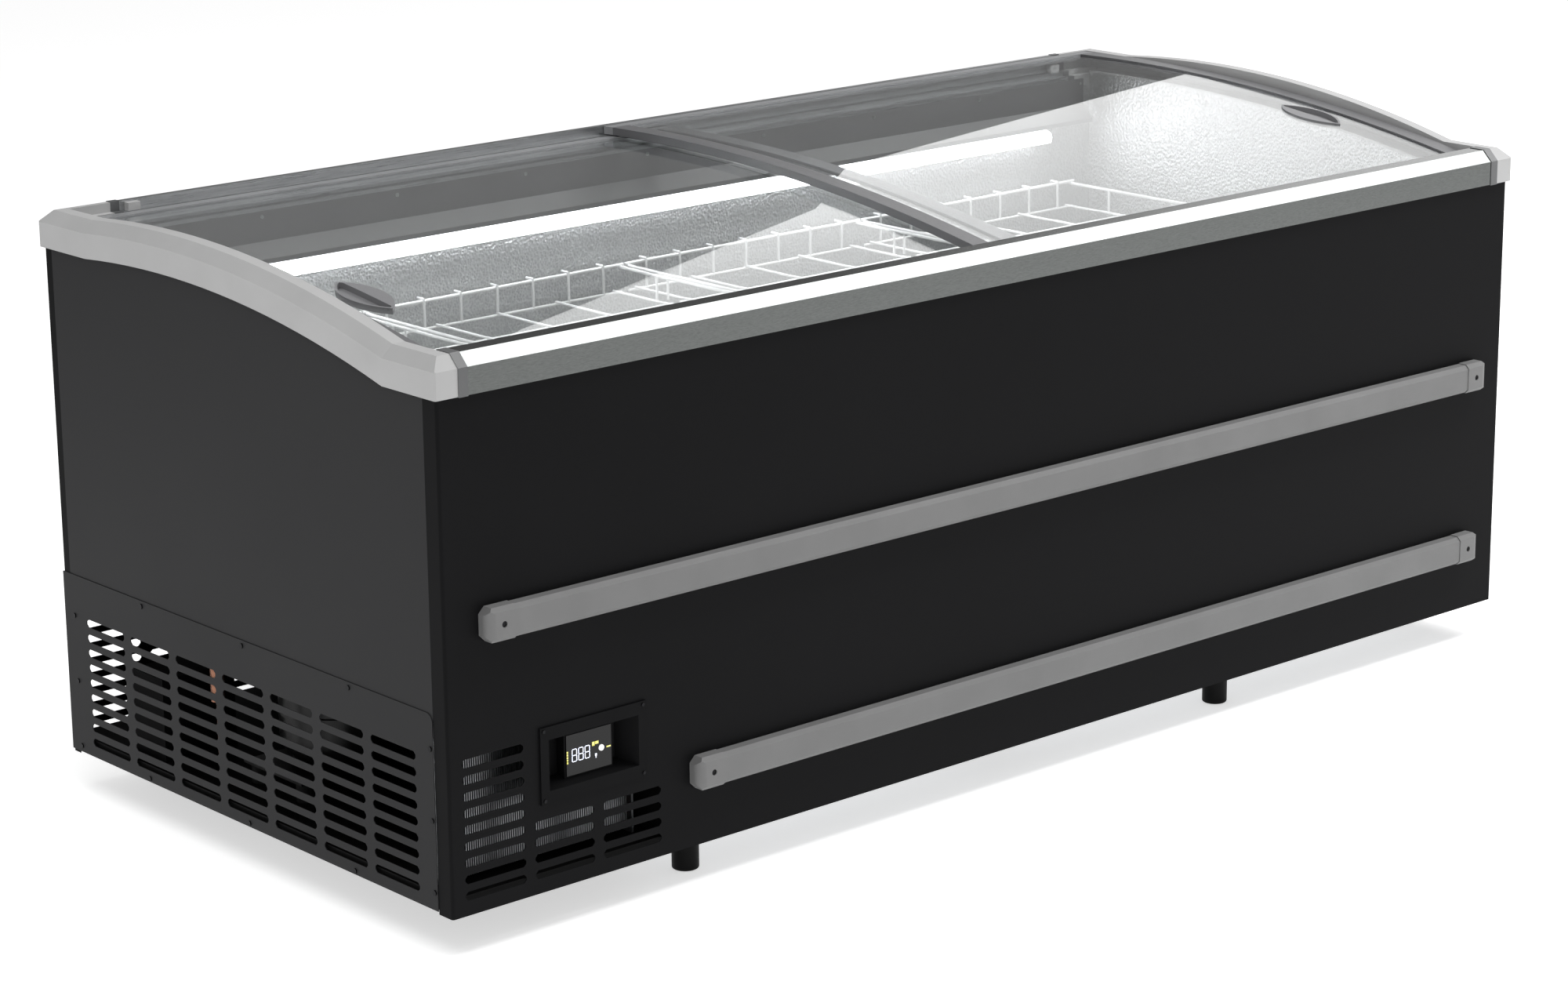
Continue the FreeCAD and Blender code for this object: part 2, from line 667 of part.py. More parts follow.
def end_cap(side, name):
    """Hollow moulding: side band, beveled outer edge, rear return and an inner shelf."""
    body = doc.addObject("PartDesign::Body", name + "Band")
    start = -rim_x if side < 0 else cap_in
    sketch = draw(body, name + "BandOutline", "YZ_Plane",
                  [cap_outline(dim(0), cap_height, -rim_y, rim_y)])
    bind(sketch, "AttachmentOffset.Base.z", start)
    pad(body, name + "BandPad", sketch, cap_width)
    doc.recompute()
    tip = body.Tip
    edges = []
    outer = side * rim_x.value
    for i, edge in enumerate(tip.Shape.Edges):
        bounds = edge.BoundBox
        middle = edge.CenterOfMass
        on_side = abs(bounds.XMin - outer) < 0.01 and abs(bounds.XMax - outer) < 0.01
        on_top = middle.z > up(front_top).value - 3 and bounds.ZLength < 100
        level = bounds.ZLength < 0.01
        at_end = abs(abs(middle.y) - rim_y.value) < 0.01 and level
        low_edge = middle.z < up(cap_centre_z).value + cap_radius.value + 2
        flat_side = on_side and level and abs(middle.y) > 300
        if flat_side and middle.y < 0 and middle.z > up(front_top).value - 1:
            edges.append("Edge%d" % (i + 1))
        elif flat_side and middle.y > 0 and middle.z > up(rear_top).value - 1:
            edges.append("Edge%d" % (i + 1))
        elif on_side and not level and on_top and bounds.YLength > 100 and not low_edge:
            edges.append("Edge%d" % (i + 1))
        elif at_end and middle.y < 0 and middle.z > up(front_top).value - 1:
            edges.append("Edge%d" % (i + 1))
        elif at_end and middle.y > 0 and middle.z > up(rear_top).value - 1:
            edges.append("Edge%d" % (i + 1))
    bevel = body.newObject("PartDesign::Chamfer", name + "Bevel")
    bevel.Base = (tip, sorted(set(edges)))
    bind(bevel, "Size", rim_bevel)
    body.Tip = bevel
    doc.recompute()
    upright = corner_edges(bevel.Shape, [outer], [-rim_y.value, rim_y.value])
    soft_corner = body.newObject("PartDesign::Fillet", name + "Corners")
    soft_corner.Base = (bevel, upright)
    bind(soft_corner, "Radius", 3)
    body.Tip = soft_corner
    doc.recompute()
    hollow_start = -rim_x + cap_wall if side < 0 else cap_in + cap_wall
    hollow = extruded(name + "Hollow", "YZ_Plane",
                      [cap_outline(dim(-5), cap_height - 19, -rim_y + cap_wall,
                                   rim_y - cap_wall)], hollow_start, cap_width - 2 * cap_wall)
    hollow_band = cut(name + "HollowBand", body, hollow)
    # The inner wall stops at the shelf, so the foam can come up inside the cap.
    trim_x0 = -cap_in - cap_wall if side < 0 else cap_in - 1
    trim_box = box(name + "TrimBox", trim_x0, trim_x0 + cap_wall + 1, -389.9, 399.9,
                   up(600), up(830))
    trim = common(name + "Trim", [trim_box, crown(name + "TrimCrown", 33)])
    trimmed = cut(name + "Trimmed", hollow_band, trim)
    shelf_x0 = -cap_in - cap_wall if side < 0 else liner_half - 1.5
    shelf_long = cap_in + cap_wall - liner_half + 1.5
    shelf = shell(name + "Shelf", 30, 33, shelf_x0, shelf_x0 + shelf_long, -389.9, 399.9)
    ret_x0 = -cap_in if side < 0 else rear_return
    ret = extruded(name + "Return", "YZ_Plane", [rear_rail_outline(0)], ret_x0,
                   cap_in - rear_return)
    return fuse(name, [trimmed, shelf, ret])


node(end_cap(-1, "LeftCap"), "left_end_cap")
node(end_cap(1, "RightCap"), "right_end_cap")

# Rubber stops at the end of each lid track.
stop_lower = box("StopLower", 905, 925, 413.3, 425.4, up(770), up(782))
stop_upper = box("StopUpper", -925, -905, 426, 437, up(783.8), up(795))
node(group("LidStops", [stop_lower, stop_upper]), "lid_stops")

# ---------------------------------------------------------------- lids
def lid(side, name, drop, y0, y1):
    """One framed glass lid; its pieces are cut from bands that follow the same curve."""
    x0 = -lid_end if side < 0 else -lid_lap
    x1 = lid_lap if side < 0 else lid_end
    key = name.title().replace("_", "")
    frame = shell(key + "Band", drop, drop + lid_thick, x0, x1, y0, y1)
    pane = shell(key + "Pane", drop + 2.5, drop + 2.5 + glass_thick, x0 + 10, x1 - 10,
                 y0 + 8, y1 - 8)
    grip_x = dim(side * 930)
    sag = dim(50.1)
    lens = []
    for k, shift in enumerate((-1, 1)):
        lens.append(rod(key + "Lens%d" % k, "z", grip_x + shift * sag, -150, up(690), 80.1, 130))
    lens_block = common(key + "LensBlock", lens)
    node(cut(key + "Glass", pane, lens_block), name + "_glass")
    rebate = cut(key + "Rebated", frame, pane)
    levels = (up(600), up(830))
    areas = {
        "front_profile": (x0, x1, y0, y0 + lid_frame),
        "rear_profile": (x0, x1, y1 - lid_frame, y1)}
    left_post = (x0, x0 + lid_post, y0 + lid_frame, y1 - lid_frame)
    right_post = (x1 - lid_post, x1, y0 + lid_frame, y1 - lid_frame)
    areas["outer_profile"] = left_post if side < 0 else right_post
    areas["centre_profile"] = right_post if side < 0 else left_post
    for part_name, area in areas.items():
        block = box(key + part_name + "Area", area[0], area[1], area[2], area[3],
                    levels[0], levels[1])
        node(common(key + part_name, [rebate, block]), name + "_" + part_name)
    # Recessed grip: a leaf-shaped cup let through the glass.
    grip_band = shell(key + "GripBand", drop + 0.5, drop + lid_thick - 0.5, grip_x - 60,
                      grip_x + 60, -230, -70)
    grip_solid = common(key + "GripSolid", [grip_band, lens_block])
    pocket_cut = []
    for k, shift in enumerate((-1, 1)):
        pocket_cut.append(rod(key + "Pocket%d" % k, "z", grip_x + shift * sag, -150, up(690),
                              76.6, 130))
    half_side = box(key + "PocketHalf", grip_x - 4, grip_x + 60, -230, -70, up(690), up(820))
    if side < 0:
        half_side = box(key + "PocketSide", grip_x - 60, grip_x + 4, -230, -70, up(690), up(820))
    pocket_plan = common(key + "PocketPlan", pocket_cut + [half_side])
    pocket_floor = crown(key + "PocketFloor", drop + lid_thick - 3.5)
    pocket = cut(key + "Pocket", pocket_plan, pocket_floor)
    node(cut(key + "Grip", grip_solid, pocket), name + "_grip")


lid(-1, "left_lid", lid_drop, dim(-407.6), dim(424.6))
lid(1, "right_lid", dim(0), dim(-419.2), dim(436.2))
# Brush seal under the upper lid's centre profile, just clear of the lower lid.
seal = shell("CentreSeal", lid_thick, lid_thick + 1.7, -lid_lap + 4, -lid_lap + 14, -396, 412)
node(seal, "centre_seal")

# ---------------------------------------------------------------- lamp and canopy
canopy_t = dim(1.2)
canopy = extruded("Canopy", "YZ_Plane", [corners(
    (399.8, up(756)), (399.8, up(711.5)), (377.4, up(690.5)), (377.4, up(684)),
    (377.4 - canopy_t, up(684)), (377.4 - canopy_t, up(691)),
    (399.8 - canopy_t, up(712)), (399.8 - canopy_t, up(756)))], -969, 1938)
node(canopy, "lamp_canopy")
rivets = []
for k in range(9):
    rivets.append(rod("Rivet%d" % k, "y", -960 + k * 240, 397.2, up(748), 3, 1.4))
node(group("CanopyRivets", rivets), "canopy_rivets")
node(extruded("LampHousing", "YZ_Plane", [corners(
    (399.9, up(680)), (392, up(680)), (392, up(656)), (399.9, up(656)))], -873, 1746),
     "lamp_housing")
node(extruded("LampDiffuser", "YZ_Plane", [corners(
    (391.9, up(679)), (381, up(676)), (378, up(667.5)), (381, up(659)), (391.9, up(657)))],
    -873, 1746), "lamp_diffuser")


# ---------------------------------------------------------------- wire baskets
def basket(name, x0, x1, count):
    """A welded wire basket that hangs on the liner by the hooks of its upright wires."""
    yr = 378.0
    yf = -374.0
    top = up(587)
    span = x1 - x0
    bars = []

    def bar(axis, x, y, z, radius, length):
        bars.append(rod("%s_%d" % (name, len(bars)), axis, x, y, z, radius, length))

    bar("x", x0, yr, top, rim_wire, span)
    bar("x", x0, yf, top, rim_wire, span)
    bar("y", x0 + 6, yf - 2, top - 3, rim_wire, yr - yf + 4)
    bar("y", x1 - 6, yf - 2, top - 3, rim_wire, yr - yf + 4)
    lead = (span - 68.6 * (count - 1)) / 2
    for k in range(count):
        x = x0 + lead + 68.6 * k
        bar("z", x, yr - 3, top - 44, wire, 47)
        bar("z", x, yf + 3, top - 44, wire, 47)
        bar("y", x, yr - 4, top + 3.5, wire, 17)
    ribs = max(3, int(round(span / 95)))
    for k in range(ribs):
        x = x0 + 20 + (span - 40) * k / (ribs - 1)
        bar("y", x, yf + 1, top - 39, wire, yr - yf - 2)
    for k in range(7):
        y = yf + 3 + (yr - yf - 6) * k / 6
        bar("x", x0 + 5, y, top - 42, wire, span - 10)
    for k in range(4):
        y = yf + 94 + 188 * k
        bar("z", x0 + 9, y, top - 43.5, wire, 41.5)
        bar("z", x1 - 9, y, top - 43.5, wire, 41.5)
    return fuse(name, bars)


node(basket("BasketA", -980.0, -568.5, 6), "wire_basket_1")
node(basket("BasketB", -564.5, -70.5, 7), "wire_basket_2")
node(basket("BasketC", -66.5, 427.5, 7), "wire_basket_3")
node(basket("BasketD", 431.5, 925.5, 7), "wire_basket_4")


# ---------------------------------------------------------------- bumpers
def bumper_outline(level, grow=0):
    y = -half_y
    mid = up(level)
    half = bumper_tall / 2 + grow
    front = y - bumper_proud - grow
    bevel = 6
    return corners(
        (y, mid - half), (y, mid + half), (front + bevel, mid + half),
        (front, mid + half - bevel), (front, mid - half + bevel),
        (front + bevel, mid - half))


def corner_block(name, x_edge, inward, z_edge, upward, leg):
    """A turned block that takes a 45 degree chamfer off the outer corner of a bumper cap."""
    block = doc.addObject("Part::Box", name)
    block.Length = 30
    block.Width = 60
    block.Height = 40
    turn = {(1, 1): 225, (1, -1): 135, (-1, 1): -45, (-1, -1): 45}[(inward, upward)]
    at = V(x_edge + inward * leg / 2, -half_y.value - 40, z_edge - upward * leg / 2)
    pose = FreeCAD.Placement(at, FreeCAD.Rotation(V(0, 1, 0), turn))
    block.Placement = pose.multiply(FreeCAD.Placement(V(0, 0, -20), FreeCAD.Rotation()))
    return block


cap_grow = 1.2
cap_front = -half_y - bumper_proud - cap_grow


caps = []
for label, level, x0, x1 in (("Upper", bumper_upper, -990, 990), ("Lower", bumper_lower, -646, 985)):
    rail = extruded("Bumper" + label, "YZ_Plane", [bumper_outline(level)], x0 + bumper_cap,
                    dim(x1 - x0) - 2 * bumper_cap)
    node(rail, "bumper_rail_" + label.lower())
    for end, x_start, x_edge in (("L", dim(x0), x0), ("R", x1 - bumper_cap, x1)):
        tag = label + end
        inward = 1 if end == "L" else -1
        cap = extruded("BumperCap" + tag, "YZ_Plane", [bumper_outline(level, cap_grow)],
                       x_start, bumper_cap)
        rounded(cap, "BumperCapRound" + tag, 13, [x_edge], [cap_front.value])
        screw_x = x_edge + 26 * inward
        tall = bumper_tall.value / 2 + cap_grow
        taken = [rod("BumperBore" + tag, "y", screw_x, cap_front - 1, up(level), 4.3, 4)]
        for upward in (-1, 1):
            taken.append(corner_block("BumperCorner%s%d" % (tag, upward), x_edge, inward,
                                      up(level).value + upward * tall, upward, 9))
        caps.append(cut("BumperCapCut" + tag, cap, fuse("BumperTaken" + tag, taken)))
        screws.append(rod("BumperScrew" + tag, "y", screw_x, cap_front + 1.8, up(level), 4, 1.2))
node(group("BumperCaps", caps), "bumper_end_caps")

# ---------------------------------------------------------------- controller
bezel_y = -half_y
bezel_plate = box("BezelPlate", -898.7, -721.6, bezel_y - 3, bezel_y, up(120.8), up(226))
bezel_box = box("BezelBox", -888.5, -731, bezel_y, bezel_y + 34, up(134), up(212))
recess = doc.addObject("Part::Wedge", "BezelRecess")
recess.Xmin = -885
recess.Xmax = -734.8
recess.X2min = -868
recess.X2max = -752
recess.Zmin = -35.0
recess.Zmax = 35.0
recess.Z2min = -27
recess.Z2max = 35
recess.Ymin = 0
recess.Ymax = 31
place(recess, 0, bezel_y - 3, up(173))
bezel = cut("Bezel", fuse("BezelBlank", [bezel_plate, bezel_box]), recess)
module_y = bezel_y + 12
module_seat = box("ModuleSeat", -848.8, -768, bezel_y - 6, bezel_y + 40, up(142), up(204))
node(cut("BezelOpen", bezel, module_seat), "controller_bezel")
for k, (x, level) in enumerate(((-893, 221), (-727, 221), (-893, 126), (-727, 126))):
    screws.append(rod("BezelScrew%d" % k, "y", x, bezel_y - 4.2, up(level), 2.4, 1.2))
module_block = box("ModuleBlock", -848.8, -768, module_y, module_y + 27, up(142), up(204))
button_x = -787.9
button_level = 172.2
button_radius = 4.2
button_bore = rod("ButtonBore", "y", button_x, module_y - 5, up(button_level), button_radius + 0.3, 14)
node(cut("Module", module_block, button_bore), "controller_module")
window_plate = box("DisplayPlate", -846, -771, module_y - 1.5, module_y, up(145), up(201))
window_hole = rod("WindowHole", "y", button_x, module_y - 5, up(button_level), button_radius + 0.3, 14)
node(cut("DisplayWindow", window_plate, window_hole), "display_window")
node(rod("Button", "y", button_x, module_y + plan_shift - 2.5, up(button_level), button_radius, 8),
     "controller_button")
node(group("PanelScrews", screws), "panel_screws")

# ---------------------------------------------------------------- machine bay
bay_mid = -866.0
tray = box("TraySheet", -half_x + 3, bay_end, -half_y + 3, half_y - 3, up(25.5), up(27))
bay_sheets = [
    box("BayWall", bay_end - 1.2, bay_end, -half_y + 3, half_y - 3, up(25.5), up(bay_top)),
    box("BayCeiling", -half_x + 3, bay_end, -half_y + 3, half_y - 3, up(bay_top) - 1.2,
        up(bay_top))]
node(fuse("MachineTray", [tray] + bay_sheets), "machine_tray")

# Compressor: welded shell on a foot plate, with its terminal cover.
comp_y = 40
comp_can = rod("CompressorCan", "z", bay_mid, comp_y, up(58), 84, 158)
doc.recompute()
dome_edges = []
for n, edge in enumerate(comp_can.Shape.Edges):
    if isinstance(edge.Curve, Part.Circle):
        dome_edges.append((n + 1, 38.0, 38.0))
comp_dome = doc.addObject("Part::Fillet", "CompressorDome")
comp_dome.Base = comp_can
comp_dome.Edges = dome_edges
comp_band = rod("CompressorSeam", "z", bay_mid, comp_y, up(130), 88, 6)
comp_plate = box("CompressorPlate", bay_mid - 115, bay_mid + 115, comp_y - 70, comp_y + 70,
                 up(55), up(59))
comp_cover = box("TerminalCover", bay_mid + 70, bay_mid + 112, comp_y - 40, comp_y + 40,
                 up(90), up(175))
node(fuse("Compressor", [comp_dome, comp_band, comp_plate, comp_cover]), "compressor")
grommets = []
for sx in (-1, 1):
    for sy in (-1, 1):
        grommets.append(rod("Grommet", "z", bay_mid + 98 * sx, comp_y + 54 * sy, up(27), 13, 28))
node(group("Grommets", grommets), "compressor_grommets")

# Condenser: fin pack between two end plates, with its return bends.
core = box("CondenserCore", -1020, -715, -414, -378, up(34), up(242))
plates = [box("CondenserPlateL", -1023, -1020, -418, -374, up(27), up(246)),
          box("CondenserPlateR", -715, -712, -418, -374, up(27), up(246))]
bends = []
for k in range(5):
    bend_tube = doc.addObject("Part::Torus", "ReturnBend%d" % k)
    bend_tube.Radius1 = 10
    bend_tube.Radius2 = 4
    bend_tube.Angle3 = 180
    bend_tube.Placement = FreeCAD.Placement(V(0, 0, 0), FreeCAD.Rotation(V(1, 0, 0), 90))
    bend_tube.Placement.Rotation = FreeCAD.Rotation(V(0, 0, 1), V(0, 1, 0))
    bend_tube.Placement = FreeCAD.Placement(
        V(0, 0, 0), FreeCAD.Rotation(V(0, 1, 0), -90).multiply(FreeCAD.Rotation(V(1, 0, 0), 90)))
    place(bend_tube, -712.5, -396, up(60 + 40 * k))
    bends.append(bend_tube)
node(fuse("Condenser", [core] + plates + bends), "condenser_coil")

# Fan: shroud plate with its ring, motor on a cross bar, bladed hub on the motor's shaft.
fan_z = 140
shroud_plate = box("ShroudPlate", -1005, -735, -373.8, -371.8, up(45), up(226))
ring_out = rod("ShroudRing", "y", bay_mid, -373.8, up(fan_z), fan_radius + 8, 42)
ring_in = rod("ShroudHole", "y", bay_mid, -380, up(fan_z), fan_radius + 5, 60)
motor_bar = box("MotorBar", bay_mid - 87, bay_mid + 87, -335, -332, up(fan_z - 12),
                up(fan_z + 12))
shroud_open = cut("ShroudOpen", fuse("ShroudSolid", [shroud_plate, ring_out]), ring_in)
shroud_all = fuse("ShroudAll", [shroud_open, motor_bar])
bar_hole = rod("MotorBarHole", "y", bay_mid, -340, up(fan_z), 9, 20)
node(cut("FanShroud", shroud_all, bar_hole), "fan_shroud")
motor_can = rod("MotorCan", "y", bay_mid, -332, up(fan_z), 36, 52)
motor_nose = rod("MotorNose", "y", bay_mid, -337, up(fan_z), 8.8, 6)
motor_bore = rod("MotorBore", "y", bay_mid, -345, up(fan_z), 3 + running_gap, 30)
node(cut("FanMotor", fuse("MotorSolid", [motor_can, motor_nose]), motor_bore), "fan_motor")
hub = rod("FanHub", "y", bay_mid, -366, up(fan_z), 20, 24)
shaft = rod("FanShaft", "y", bay_mid, -350, up(fan_z), 3, 30)
blade_list = [hub, shaft]
for k in range(5):
    blade = doc.addObject("Part::Box", "Blade%d" % k)
    bind(blade, "Length", fan_radius - 17)
    blade.Width = 2
    blade.Height = 44
    pose = FreeCAD.Placement(V(bay_mid, -354, up(fan_z).value),
                             FreeCAD.Rotation(V(0, 1, 0), 72 * k))
    tilt = FreeCAD.Placement(V(16, 0, 0), FreeCAD.Rotation(V(1, 0, 0), 24))
    centre = FreeCAD.Placement(V(0, -1, -22), FreeCAD.Rotation())
    blade.Placement = pose.multiply(tilt).multiply(centre)
    blade_list.append(blade)
node(fuse("FanBlade", blade_list), "fan_blade")

# Copper pipework: discharge to the condenser, liquid line with its drier, suction into the foam.
def level_of(z):
    return up(z).value


pipe_y = comp_y - 40
discharge = tube([V(bay_mid - 60, pipe_y, level_of(198)), V(bay_mid - 60, pipe_y, level_of(232)),
                  V(-985, pipe_y, level_of(232)), V(-985, -373.9, level_of(232))], 4, 12)
liquid = tube([V(-1012, -373.9, level_of(60)), V(-1012, 120, level_of(60)),
               V(-1012, 120, level_of(150))], 3, 10)
drier = Part.makeCylinder(10, 74, V(-1012, 120, level_of(150)), V(0, 0, 1))
capillary = tube([V(-1012, 120, level_of(224)), V(-1012, 120, level_of(252)),
                  V(-1012, 200, level_of(252)), V(-760, 200, level_of(252)),
                  V(-760, 200, level_of(260.7))], 2, 8)
suction_x = bay_mid + 20
suction = tube([V(suction_x, comp_y + 60, level_of(196)), V(suction_x, comp_y + 60, level_of(240)),
                V(suction_x, comp_y + 190, level_of(240)),
                V(suction_x, comp_y + 190, level_of(260.7))], 5, 12)
pipes = doc.addObject("Part::Feature", "Pipework")
pipes.Shape = Part.makeCompound([discharge, liquid, drier, capillary, suction])
node(pipes, "refrigerant_pipes")

# Electrical box with its cable gland.
e_box = box("ElectricalBox", -1020, -900, 250, 330, up(27), up(150))
e_gland = rod("ElectricalGland", "y", -960, 329, up(60), 10, 16)
node(fuse("Electrical", [e_box, e_gland]), "electrical_box")

# ---------------------------------------------------------------- checks and export
doc.recompute()
os.makedirs("parts", exist_ok=True)
bad = []
for obj in doc.Objects:
    if "Invalid" in obj.State or "Error" in obj.State:
        bad.append("%s %s" % (obj.Name, obj.State))
names = [name for name, obj in nodes]
for name, obj in nodes:
    if obj.Shape.isNull() or not obj.Shape.isValid() or not obj.Shape.Solids:
        bad.append("%s has no valid shape" % name)
if len(set(names)) != len(names):
    bad.append("two sub-parts share a name")
if bad:
    raise RuntimeError("; ".join(bad))
for name, obj in nodes:
    obj.Shape.exportStep("parts/%s.step" % name)
    bounds = obj.Shape.BoundBox
    print("%-28s solids %3d volume %12.0f  x %8.1f %8.1f  y %8.1f %8.1f  z %7.1f %7.1f" % (
        name, len(obj.Shape.Solids), obj.Shape.Volume, bounds.XMin, bounds.XMax,
        bounds.YMin, bounds.YMax, bounds.ZMin, bounds.ZMax))
print(len(nodes), "sub-parts")
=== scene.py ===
# %% [markdown]
# # A chest freezer with sliding glass lids
# The real cabinet is folded steel outside and an embossed aluminium tub inside, with foam between
# them. Two curved glass lids slide on aluminium rails, a lamp shines on the goods, and the cooling
# machine sits behind slots at one end. This lesson finishes the bare solids: it gives every piece
# the material it is made of, adds the small parts a solid modeller leaves out, and lights it.

import math

import bmesh
import bpy
from mathutils import Matrix, Vector


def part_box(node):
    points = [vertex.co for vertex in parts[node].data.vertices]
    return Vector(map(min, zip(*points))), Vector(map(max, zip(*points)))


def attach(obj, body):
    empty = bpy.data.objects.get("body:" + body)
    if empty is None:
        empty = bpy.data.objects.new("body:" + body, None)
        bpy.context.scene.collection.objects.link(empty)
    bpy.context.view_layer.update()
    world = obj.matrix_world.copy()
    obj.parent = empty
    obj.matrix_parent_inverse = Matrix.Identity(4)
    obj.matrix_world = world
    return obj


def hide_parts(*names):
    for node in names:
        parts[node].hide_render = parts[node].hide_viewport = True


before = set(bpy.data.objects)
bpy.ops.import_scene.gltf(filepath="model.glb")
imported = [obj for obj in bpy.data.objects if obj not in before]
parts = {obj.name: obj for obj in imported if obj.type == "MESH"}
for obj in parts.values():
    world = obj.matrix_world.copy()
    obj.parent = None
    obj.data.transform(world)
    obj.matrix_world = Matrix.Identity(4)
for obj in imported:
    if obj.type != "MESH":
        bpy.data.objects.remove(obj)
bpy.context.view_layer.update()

# %% [markdown]
# Colours are easiest to choose as hex values, the way a paint shop or a design tool gives them.
# Blender's shaders want linear light, so one function undoes the sRGB curve. A second small
# function adds any node with its settings, values and links, which keeps each material short.
# Real surfaces are never quite even, so a third lets a pattern move the colour, the roughness and
# the height of a material a little.

# %% Colours and nodes
def paint(hex_colour):
    """A #rrggbb colour as linear light."""
    channels = [int(hex_colour[i:i + 2], 16) / 255 for i in (1, 3, 5)]
    linear = [c / 12.92 if c <= 0.04045 else ((c + 0.055) / 1.055) ** 2.4 for c in channels]
    return (*linear, 1.0)


def add_node(tree, kind, values=None, links=None, **settings):
    """Adds a node, sets its settings and input values, and links sockets into it."""
    made = tree.nodes.new(kind)
    for key, value in settings.items():
        setattr(made, key, value)
    for key, value in (values or {}).items():
        made.inputs[key].default_value = value
    for key, (source, output) in (links or {}).items():
        tree.links.new(source.outputs[output], made.inputs[key])
    return made


def start_material(name, **values):
    """An empty material with a Principled shader on its output."""
    material = bpy.data.materials.new(name)
    material.use_nodes = True
    tree = material.node_tree
    tree.nodes.clear()
    shader = add_node(tree, "ShaderNodeBsdfPrincipled", values)
    add_node(tree, "ShaderNodeOutputMaterial", links={"Surface": (shader, "BSDF")})
    return material, tree, shader


def pattern_space(tree, size_mm, stretch=(1, 1, 1)):
    """Coordinates fixed to the piece. One unit is size_mm, and longer along a stretched axis."""
    place = add_node(tree, "ShaderNodeTexCoord")
    per_metre = [1000 / (size_mm * s) for s in stretch]
    return add_node(tree, "ShaderNodeVectorMath", {1: per_metre}, {0: (place, "Object")},
                    operation="MULTIPLY")


def weather(tree, shader, colour=None, roughness=None, relief=None, reach=(0.3, 0.7)):
    """Lets patterns drive a shader. Each drive is (node, output, low, high): two hex colours, two
    roughness values, or for relief the depth in millimetres and how strongly it shows."""
    if colour:
        source, output, dark, light = colour
        ramp = add_node(tree, "ShaderNodeValToRGB", links={"Fac": (source, output)})
        for stop, place, hex_colour in zip(ramp.color_ramp.elements, reach, (dark, light)):
            stop.position, stop.color = place, paint(hex_colour)
        tree.links.new(ramp.outputs["Color"], shader.inputs["Base Color"])
    if roughness:
        source, output, low, high = roughness
        spread = add_node(tree, "ShaderNodeMapRange", {"From Min": reach[0], "From Max": reach[1],
                                                      "To Min": low, "To Max": high},
                          {"Value": (source, output)})
        tree.links.new(spread.outputs["Result"], shader.inputs["Roughness"])
    if relief:
        source, output, depth_mm, strength = relief
        raised = add_node(tree, "ShaderNodeBump",
                          {"Strength": strength, "Distance": depth_mm / 1000},
                          {"Height": (source, output)})
        tree.links.new(raised.outputs["Normal"], shader.inputs["Normal"])


def finish_with(material, *names):
    """Gives CAD parts or new pieces their material."""
    for name in names:
        piece = parts.get(name) or bpy.data.objects[name]
        piece.data.materials.clear()
        piece.data.materials.append(material)
    print(material.name, "on", len(names), "pieces")

# %% [markdown]
# The outer panels are folded steel, powder coated. Powder is sprayed dry and baked, so it keeps a
# very fine orange peel. The bumps of a real coat are about a millimetre apart and too fine to
# show, so they are drawn a little coarser. Noise does this well: a bump for the peel and a slow
# noise that changes the gloss a little over the sheet, as handling does. A matt dark coat mirrors
# very little, so its specular level is low.

# %% Powder-coated steel
def powder_coat(name, dark, light, roughness, level):
    material, tree, shader = start_material(
        name, **{"IOR": 1.5, "Specular IOR Level": level, "Roughness": roughness})
    peel = add_node(tree, "ShaderNodeTexNoise", {"Scale": 1.0, "Detail": 2.0},
                    {"Vector": (pattern_space(tree, 2.2), "Vector")})
    handling = add_node(tree, "ShaderNodeTexNoise", {"Scale": 1.0, "Detail": 4.0},
                        {"Vector": (pattern_space(tree, 260), "Vector")})
    weather(tree, shader, colour=(handling, "Fac", dark, light),
            roughness=(handling, "Fac", roughness - 0.04, roughness + 0.04),
            relief=(peel, "Fac", 0.05, 0.5))
    return material


black_coat = powder_coat("black_powder_coat", "#161617", "#19191a", 0.5, 0.04)
graphite_coat = powder_coat("graphite_powder_coat", "#2d2d2e", "#303031", 0.5, 0.1)
frame_coat = powder_coat("frame_powder_coat", "#121212", "#181818", 0.6, 0.05)
canopy_coat = powder_coat("canopy_grey_coat", "#626263", "#6a6a6b", 0.42, 0.3)
basket_coat = powder_coat("basket_white_epoxy", "#e9e9e9", "#f3f3f3", 0.3, 0.5)
compressor_coat = powder_coat("compressor_black_enamel", "#141414", "#1b1b1b", 0.28, 0.5)
finish_with(black_coat, "front_panel", "rear_panel")
finish_with(graphite_coat, "left_side_panel", "right_side_panel", "left_grille_panel")
finish_with(frame_coat, "base_frame", "machine_tray", "fan_shroud")
finish_with(canopy_coat, "lamp_canopy")
finish_with(basket_coat, "wire_basket_1", "wire_basket_2", "wire_basket_3", "wire_basket_4")
finish_with(compressor_coat, "compressor", "fan_motor")

# %% [markdown]
# Caps, bumpers, lid profiles, feet and the controller housing are moulded or extruded plastic.
# A tool with a spark-eroded skin leaves a grain of half a millimetre or less, and an extrusion
# leaves faint lines along its length. A fine noise makes the grain, and the same noise stretched
# along one axis makes the lines, so one function serves both with its settings.

